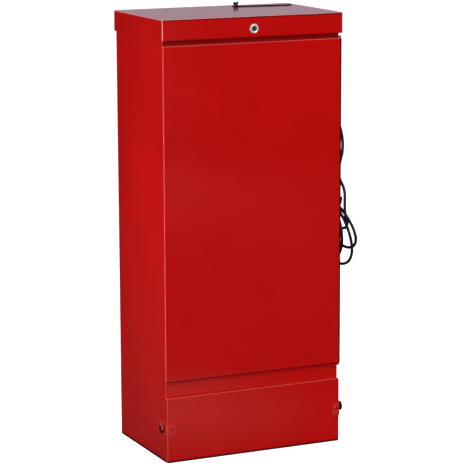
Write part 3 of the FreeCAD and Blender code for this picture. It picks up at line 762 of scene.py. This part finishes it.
bootPiece = buildBoot()
plugPiece = buildPlug()
print("boot and plug made")

thumbScrew = {
    "radius": 0.011,
    "depth": 0.0055,
    "rim": 0.62,  # the knurled rim's share of the depth
    "ridges": 44,
    "ridge": 0.00045,
    "shank": 0.0025,
    "pitch": 0.0008,
    "thread": 0.0003,
    "plain": 0.002,  # the shank's length with no thread
}
# the domed and dished face, as shares of the radius and of the depth
thumbScrewFace = ((0.93, 0.22), (0.78, 0.14), (0.60, 0.02), (0.50, -0.04), (0.30, -0.05))


def buildThumbScrew(name, body, node, side):
    # knurled head with a domed, dished face, and a threaded shank
    low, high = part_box(node)
    outer, inner = (high.x, low.x) if side > 0 else (low.x, high.x)
    middle = (low + high) / 2
    radius, depth = thumbScrew["radius"] - thumbScrew["ridge"], thumbScrew["depth"]
    bm = bmesh.new()
    segments = 2 * thumbScrew["ridges"]
    rim = bmesh.ops.create_circle(bm, cap_ends=False, segments=segments, radius=radius)["verts"]
    upper, ring = raiseRing(bm, bm.edges[:])
    bmesh.ops.translate(bm, vec=(0, 0, depth * thumbScrew["rim"]), verts=upper)
    for number, vert in enumerate(rim + upper):
        if number % 2:
            vert.co.xy *= 1 + thumbScrew["ridge"] / radius
    for shrink, rise in thumbScrewFace:
        upper, ring = raiseRing(bm, ring)
        for vert in upper:
            vert.co.xy = vert.co.xy.normalized() * radius * shrink
            vert.co.z += depth * rise
    bmesh.ops.contextual_create(bm, geom=ring)
    bmesh.ops.contextual_create(bm, geom=[edge for edge in bm.edges if edge.is_boundary])
    length = abs(outer - inner) - depth
    crest, pitch = thumbScrew["shank"], thumbScrew["pitch"]
    root = crest - thumbScrew["thread"]
    shank = [(0, -length), (root - thumbScrew["thread"], -length)]
    for turn in range(int((length - thumbScrew["plain"]) / pitch)):
        base = -length + (turn + 1) * pitch
        shank += [(root, base), (crest, base + pitch / 2)]
    shank += [(crest, -0.0004), (crest, 0.0006), (0, 0.0006)]
    addTurned(bm, shank, 20)
    bmesh.ops.recalc_face_normals(bm, faces=bm.faces[:])
    placeMesh(bm, (outer - side * depth, middle.y, middle.z), (side, 0, 0))
    piece = finishPiece(bm, name, screwShadedEnamel, body, sharpAngle=30)
    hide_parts(node)


buildThumbScrew("thumbScrewLeft", "screw_left", "thumb_screw_left", -1)
buildThumbScrew("thumbScrewRight", "screw_right", "thumb_screw_right", 1)

wingNut = {
    "hub": 0.0046,
    "top": 0.0039,
    "tall": 0.004,
    "bore": 0.00305,
    "round": 0.0005,
    "wing": 0.0032,
    "wingX": 0.0056,
    "wingZ": 0.0044,
    "thick": 0.0018,
    "rootSpread": 1.1,  # the wings grow wider towards the hub
    "rootWidth": 0.0034,
    "rootX": 0.0047,
    "turn": 25,  # degrees
}


def buildWing(side):
    # one round wing, stood up beside the hub
    wing = bmesh.new()
    thick = wingNut["thick"]
    bmesh.ops.create_circle(wing, cap_ends=True, segments=28, radius=wingNut["wing"])
    for vert in wing.verts:
        if vert.co.x * side < 0 and vert.co.y < 0:
            vert.co.x *= wingNut["rootSpread"]
    grown = bmesh.ops.extrude_face_region(wing, geom=wing.faces[:])["geom"]
    raised = [item for item in grown if isinstance(item, bmesh.types.BMVert)]
    bmesh.ops.translate(wing, vec=(0, 0, thick), verts=raised)
    sharp = [edge for edge in wing.edges if abs(edge.verts[0].co.z - edge.verts[1].co.z) < 1e-7]
    bevelEdges(wing, sharp, width=0.00045, segments=2)
    shift(wing, (0, 0, -thick / 2))
    rotate(wing, 90, "X")
    shift(wing, (side * wingNut["wingX"], 0, wingNut["wingZ"]))
    bmesh.ops.recalc_face_normals(wing, faces=wing.faces[:])
    return wing


def buildWingNut():
    low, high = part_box("wing_nut")
    bm = bmesh.new()
    hub, top, tall, bore = wingNut["hub"], wingNut["top"], wingNut["tall"], wingNut["bore"]
    soft = wingNut["round"]
    outline = [
        (bore, 0), (hub, 0), (hub, 0.0007), (top, tall - soft),
        (top - soft, tall), (bore, tall), (bore, 0),
    ]
    turnProfile(bm, outline, steps=32)
    for side in (-1, 1):
        addMesh(bm, buildWing(side))
        size = (wingNut["rootWidth"], wingNut["thick"] * 0.95, wingNut["wingZ"] - 0.0008)
        root = newBlock(size, bevel=0.0004)
        shift(root, (side * wingNut["rootX"], 0, wingNut["wingZ"] / 2))
        addMesh(bm, root)
    rotate(bm, wingNut["turn"], "Z")
    shift(bm, ((low.x + high.x) / 2, (low.y + high.y) / 2, low.z))
    piece = finishPiece(bm, "wingNut", darkSteel, "wing_nut", sharpAngle=40)
    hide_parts("wing_nut")


buildWingNut()

threadEnd = {"start": 0.998, "radius": 0.0030, "pitch": 0.0010, "root": 0.00035, "crest": 0.00004}


def buildThreadEnd():
    # the bolt's thread, standing up through the nut
    low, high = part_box("damper_bolt")
    radius, pitch, start, end = threadEnd["radius"], threadEnd["pitch"], threadEnd["start"], high.z
    outline = [(0, start), (radius - 0.0003, start)]
    for turn in range(int((end - start - 0.0006) / pitch)):
        foot = start + turn * pitch
        outline.append((radius - threadEnd["root"], foot + 0.0001))
        outline.append((radius + threadEnd["crest"], foot + pitch / 2))
    outline += [(radius - 0.0006, end), (0, end)]
    bm = bmesh.new()
    turnProfile(bm, outline, steps=24)
    shift(bm, ((low.x + high.x) / 2, (low.y + high.y) / 2, 0))
    finishPiece(bm, "boltThread", darkSteel, "lid", sharpAngle=20)


buildThreadEnd()

lock = {
    "centre": (0, -0.141, 0.972),
    "ring": 0.0106,
    "lip": 0.0022,
    "barrel": 0.008,
    "bore": 0.00555,
    "depth": 0.019,
    "nut": 0.019,
    "nutDepth": 0.004,
    "panel": 0.0012,
}


def buildLock():
    # barrel with a rounded front ring and the hexagon nut behind the lid's lip
    ring, lip, bore, barrel = lock["ring"], lock["lip"], lock["bore"], lock["barrel"]
    depth = lock["depth"]
    outline = [
        (barrel, 0), (ring, 0), (ring, 0.0006), (ring - 0.0004, 0.0014), (ring - 0.0012, 0.0021),
        (ring - 0.0022, lip + 0.0002), (ring - 0.0030, lip + 0.0001),
        (ring - 0.0036, lip - 0.0005), (bore + 0.0004, lip - 0.0007), (bore, lip - 0.0011),
        (bore, -depth), (barrel - 0.0006, -depth), (barrel, -depth + 0.0006), (barrel, 0),
    ]
    bm = bmesh.new()
    turnProfile(bm, outline, steps=64)
    nut = bmesh.new()
    corner, nutDepth = lock["nut"] / math.sqrt(3), lock["nutDepth"]
    bmesh.ops.create_cone(
        nut, cap_ends=True, segments=6, radius1=corner, radius2=corner, depth=nutDepth
    )
    bevelEdges(nut, nut.edges[:], width=0.0005, segments=2)
    shift(nut, (0, 0, -lock["panel"] - nutDepth / 2))
    addMesh(bm, nut)
    placeMesh(bm, lock["centre"], (0, -1, 0))
    piece = finishPiece(bm, "lockBarrel", lockChrome, "lid", sharpAngle=40)
    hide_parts("lock_body")


buildLock()

roundHead = {"radius": 0.0028, "rise": 0.0013, "recess": 0.0011}
hingeScrews = {"x": 0.130, "steps": (-0.020, 0, 0.020)}


def buildHingeScrews(name, body, y, z):
    # a row of low round heads with round recesses on each hinge
    radius, rise, recess = roundHead["radius"], roundHead["rise"], roundHead["recess"]
    outline = [
        (0, -0.0004), (radius, -0.0004), (radius, 0.0002), (radius * 0.86, rise * 0.62),
        (radius * 0.6, rise * 0.95), (recess + 0.0002, rise), (recess, rise - 0.0001),
        (recess, rise - 0.0008), (0, rise - 0.0009),
    ]
    bm = bmesh.new()
    for side in (-1, 1):
        for step in hingeScrews["steps"]:
            addTurned(bm, outline, 18, (side * hingeScrews["x"] + step, y, z), (0, 1, 0))
    finishPiece(bm, name, zincSteel, body, sharpAngle=40)


buildHingeScrews("lidHingeScrews", "lid", y=0.1425, z=0.9645)
buildHingeScrews("bodyHingeScrews", "cabinet", y=0.141, z=0.935)

strapRivets = {"x": 0.2075, "y": -0.142, "z": 0.081}


def buildStrapRivets():
    # one painted rivet on the front tab of each cover strap
    outline = [
        (0, -0.0003), (0.0036, -0.0003), (0.0035, 0.0003),
        (0.0028, 0.0009), (0.0016, 0.0013), (0, 0.0014),
    ]
    bm = bmesh.new()
    for side in (-1, 1):
        place = (side * strapRivets["x"], strapRivets["y"], strapRivets["z"])
        addTurned(bm, outline, 24, place, (0, -1, 0))
    finishPiece(bm, "strapRivets", redEnamel, "cover", sharpAngle=40)


buildStrapRivets()
print("fastenings made")

backSwage = {"border": 0.034, "sink": 0.0009, "slope": 0.006}


def buildBackPanel():
    # sheet with a broad pressed field that stiffens it
    low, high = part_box("back_panel")
    bm = bmesh.new()
    bmesh.ops.create_cube(bm, size=1)
    bmesh.ops.scale(bm, vec=high - low, verts=bm.verts[:])
    shift(bm, (low + high) / 2)
    rear = [face for face in bm.faces if face.normal.y > 0.5]
    for width, depth in ((backSwage["border"], 0), (backSwage["slope"], -backSwage["sink"])):
        bmesh.ops.inset_region(bm, faces=rear, thickness=width, depth=depth, use_even_offset=True)
    piece = finishPiece(bm, "backPanel", redEnamel, "cabinet", sharpAngle=20)
    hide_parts("back_panel")


buildBackPanel()


def addBead(name, points, radius, material, body):
    # a round bead along a closed line
    data = bpy.data.curves.new(name, "CURVE")
    data.dimensions = "3D"
    data.bevel_depth = radius
    data.bevel_resolution = 3
    line = data.splines.new("POLY")
    line.points.add(len(points) - 1)
    for place, point in zip(line.points, points):
        place.co = (*point, 1)
    line.use_cyclic_u = True
    bead = bpy.data.objects.new(name, data)
    bpy.context.collection.objects.link(bead)
    data.materials.append(material)
    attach(bead, body)


def cornered(left, bottom, right, top, inset, radius, steps=6):
    # a rectangle set in from its four sides, with round corners, as flat points
    points = []
    setIn = inset + radius
    corners = (
        (right - setIn, top - setIn, 0),
        (left + setIn, top - setIn, 90),
        (left + setIn, bottom + setIn, 180),
        (right - setIn, bottom + setIn, 270),
    )
    for u, v, start in corners:
        for step in range(steps + 1):
            angle = math.radians(start + 90 * step / steps)
            points.append((u + radius * math.cos(angle), v + radius * math.sin(angle)))
    return points


doorBead = {"inset": 0.004, "sink": 0.0006, "radius": 0.0010, "corner": 0.012}
trayRim = {"inset": 0.0012, "sink": 0.0010, "radius": 0.0011, "corner": 0.005}


def buildBeads():
    # the door seal's raised bead, and the drip tray's rolled rim
    low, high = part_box("door_seal")
    level = high.y - doorBead["sink"]
    loop = cornered(low.x, low.z, high.x, high.z, doorBead["inset"], doorBead["corner"])
    points = [(x, level, z) for x, z in loop]
    addBead("doorSealBead", points, doorBead["radius"], silicone, "door")
    low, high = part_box("drip_tray")
    level = high.z - trayRim["sink"]
    loop = cornered(low.x, low.y, high.x, high.y, trayRim["inset"], trayRim["corner"])
    points = [(x, y, level) for x, y in loop]
    addBead("dripTrayRim", points, trayRim["radius"], traySteel, "cabinet")


buildBeads()

hookCap = {"bore": 0.0034, "radius": 0.0047, "length": 0.009, "behind": 0.0035, "proud": 0.0006}


def buildHookCap():
    # a soft cap on the hook's upturned end
    low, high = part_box("cord_hook")
    bore, radius, length = hookCap["bore"], hookCap["radius"], hookCap["length"]
    outline = [
        (bore, 0), (radius - 0.0004, 0), (radius, 0.0006), (radius, length - 0.0022),
        (radius * 0.8, length - 0.0006), (radius * 0.45, length), (0, length + 0.0001),
    ]
    bm = bmesh.new()
    turnProfile(bm, outline, steps=28)
    foot = high.z + hookCap["proud"] - length
    shift(bm, (high.x - hookCap["behind"], (low.y + high.y) / 2, foot))
    finishPiece(bm, "hookCap", blackRubber, "cabinet", sharpAngle=40)


buildHookCap()

glandRibs = {"count": 14, "middle": 0.2230, "radius": 0.0080, "size": (0.0036, 0.0011, 0.0016)}


def buildGlandRibs():
    # grip ribs round the gland's dome nut
    bm = bmesh.new()
    for number in range(glandRibs["count"]):
        rib = newBlock(glandRibs["size"], bevel=0.0003)
        shift(rib, (0, 0, glandRibs["radius"]))
        rotate(rib, 360 * number / glandRibs["count"], "X")
        shift(rib, (glandRibs["middle"], cordLead[0][1], cordLead[0][2]))
        addMesh(bm, rib)
    finishPiece(bm, "glandRibs", blackPlastic, "cabinet", sharpAngle=40)


buildGlandRibs()

collar = {"x": 0.1800, "rows": (0.075, -0.075), "z": 0.048}


def buildHeaterCollars():
    # pressed collars where the heater enters its terminal box
    outline = [
        (0.0043, 0), (0.0085, 0), (0.0085, 0.0012), (0.0066, 0.0020),
        (0.0062, 0.0050), (0.0056, 0.0056), (0.0043, 0.0056), (0.0043, 0),
    ]
    bm = bmesh.new()
    for y in collar["rows"]:
        addTurned(bm, outline, 32, (collar["x"], y, collar["z"]), (-1, 0, 0))
    finishPiece(bm, "heaterCollars", zincSteel, "cabinet", sharpAngle=40)


buildHeaterCollars()

catch = {"cheek": (0.0012, 0.0156, 0.036), "tall": 0.040, "proud": 0.0004, "inside": 0.0060}


def buildCatchCheeks():
    # steel cheeks on both sides of each magnet
    low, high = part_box("magnet_catches")
    middle = (low.y + high.y) / 2
    bm = bmesh.new()
    for bottom in (low.z, high.z - catch["tall"]):
        for x in (low.x + catch["inside"], high.x + catch["proud"]):
            cheek = newBlock(catch["cheek"], bevel=0.0003)
            shift(cheek, (x, middle, bottom + catch["tall"] / 2))
            addMesh(bm, cheek)
    finishPiece(bm, "catchCheeks", zincSteel, "cabinet", sharpAngle=40)


buildCatchCheeks()
print("small fittings made")

room = {
    "floor": 30.0,
    "floorSeen": grey(0.85),
    "floorInMirror": grey(0.08),
    "pool": (-0.12, -0.60, 0),  # a bright patch of floor that only shows mirrored in the enamel
    "poolFade": (0.5, 0.12),
    "poolGlow": 0.42,
    "backdrop": grey(1.0),
}
# the mirrored room's brightness by height
roomBands = (
    (0.02, grey(0.10)),
    (0.08, rgb(0.40, 0.36, 0.42)),
    (0.34, rgb(0.40, 0.36, 0.42)),
    (0.46, grey(0.10)),
)


def buildFloor():
    bm = bmesh.new()
    bmesh.ops.create_grid(bm, x_segments=2, y_segments=2, size=room["floor"])
    mesh = bpy.data.meshes.new("floor")
    bm.to_mesh(mesh)
    bm.free()
    floor = bpy.data.objects.new("floor", mesh)
    bpy.context.collection.objects.link(floor)
    material, tree, shader = newMaterial(
        "paleFloor", Roughness=0.9, Specular_IOR_Level=0.0, Emission_Color=grey(1.0)
    )
    seen = addNode(tree, "ShaderNodeLightPath")
    tone = addRamp(tree, (0.0, room["floorInMirror"]), (1.0, room["floorSeen"]))
    place = addNode(tree, "ShaderNodeTexCoord")
    away = addNode(tree, "ShaderNodeVectorMath", operation="DISTANCE")
    away.inputs[1].default_value = room["pool"]
    linkNodes(tree, (place.outputs["Object"], away.inputs[0]))
    pool = addFade(tree, away.outputs["Value"], *room["poolFade"])
    poolSeen = addMath(tree, "MULTIPLY", pool, seen.outputs["Is Glossy Ray"])
    mirrored = addMath(tree, "MULTIPLY", poolSeen, room["poolGlow"])
    shine = addMath(tree, "ADD", mirrored, seen.outputs["Is Camera Ray"])
    linkNodes(
        tree,
        (seen.outputs["Is Camera Ray"], tone.inputs["Fac"]),
        (tone.outputs["Color"], shader.inputs["Base Color"]),
        (shine, shader.inputs["Emission Strength"]),
    )
    mesh.materials.append(material)


def buildSky():
    world = bpy.data.worlds.new("studio")
    bpy.context.scene.world = world
    world.use_nodes = True
    tree = world.node_tree
    backdrop = tree.nodes["Background"]
    place = addNode(tree, "ShaderNodeTexCoord")
    parts = addNode(tree, "ShaderNodeSeparateXYZ")
    tone = addRamp(tree, *roomBands)
    seen = addNode(tree, "ShaderNodeLightPath")
    choice, mirrored = addMix(tree, room["backdrop"])
    linkNodes(
        tree,
        (place.outputs["Generated"], parts.inputs[0]),
        (parts.outputs["Z"], tone.inputs["Fac"]),
        (tone.outputs["Color"], mirrored),
        (seen.outputs["Is Camera Ray"], choice.inputs["Factor"]),
        (choice.outputs[2], backdrop.inputs["Color"]),
    )
    backdrop.inputs["Strength"].default_value = 1.0


# each lamp's place, its aim, its width and height, its power and whether it shows mirrored
lamps = {
    "keyLamp": ((0.1, -3.1, 3.1), (0, 0, 0.45), (1.6, 1.2), 57, True),
    "fillLamp": ((0.8, -4.0, 0.5), (0.1, 0, 0.05), (1.2, 0.9), 56, False),
    "topLamp": ((1.0, -0.5, 3.0), (0, 0, 0.9), (1.2, 1.2), 7, True),
    "sideLamp": ((-0.85, -0.12, 0.62), (-0.2165, -0.08, 0.6), (0.2, 1.3), 6, True),
    "rearLamp": ((2.2, 2.4, 1.9), (0, 0, 0.5), (1.6, 1.4), 30, False),
}


def addLamp(name, place, target, size, power, mirrored):
    data = bpy.data.lights.new(name, "AREA")
    data.shape = "RECTANGLE"
    data.size, data.size_y = size
    data.energy = power
    lamp = bpy.data.objects.new(name, data)
    bpy.context.collection.objects.link(lamp)
    lamp.location = place
    aim = Vector(target) - Vector(place)
    lamp.rotation_euler = aim.to_track_quat("-Z", "Y").to_euler()
    lamp.visible_camera = False
    lamp.visible_glossy = mirrored


buildFloor()
buildSky()
for name, facts in lamps.items():
    addLamp(name, *facts)
print("floor and light set")
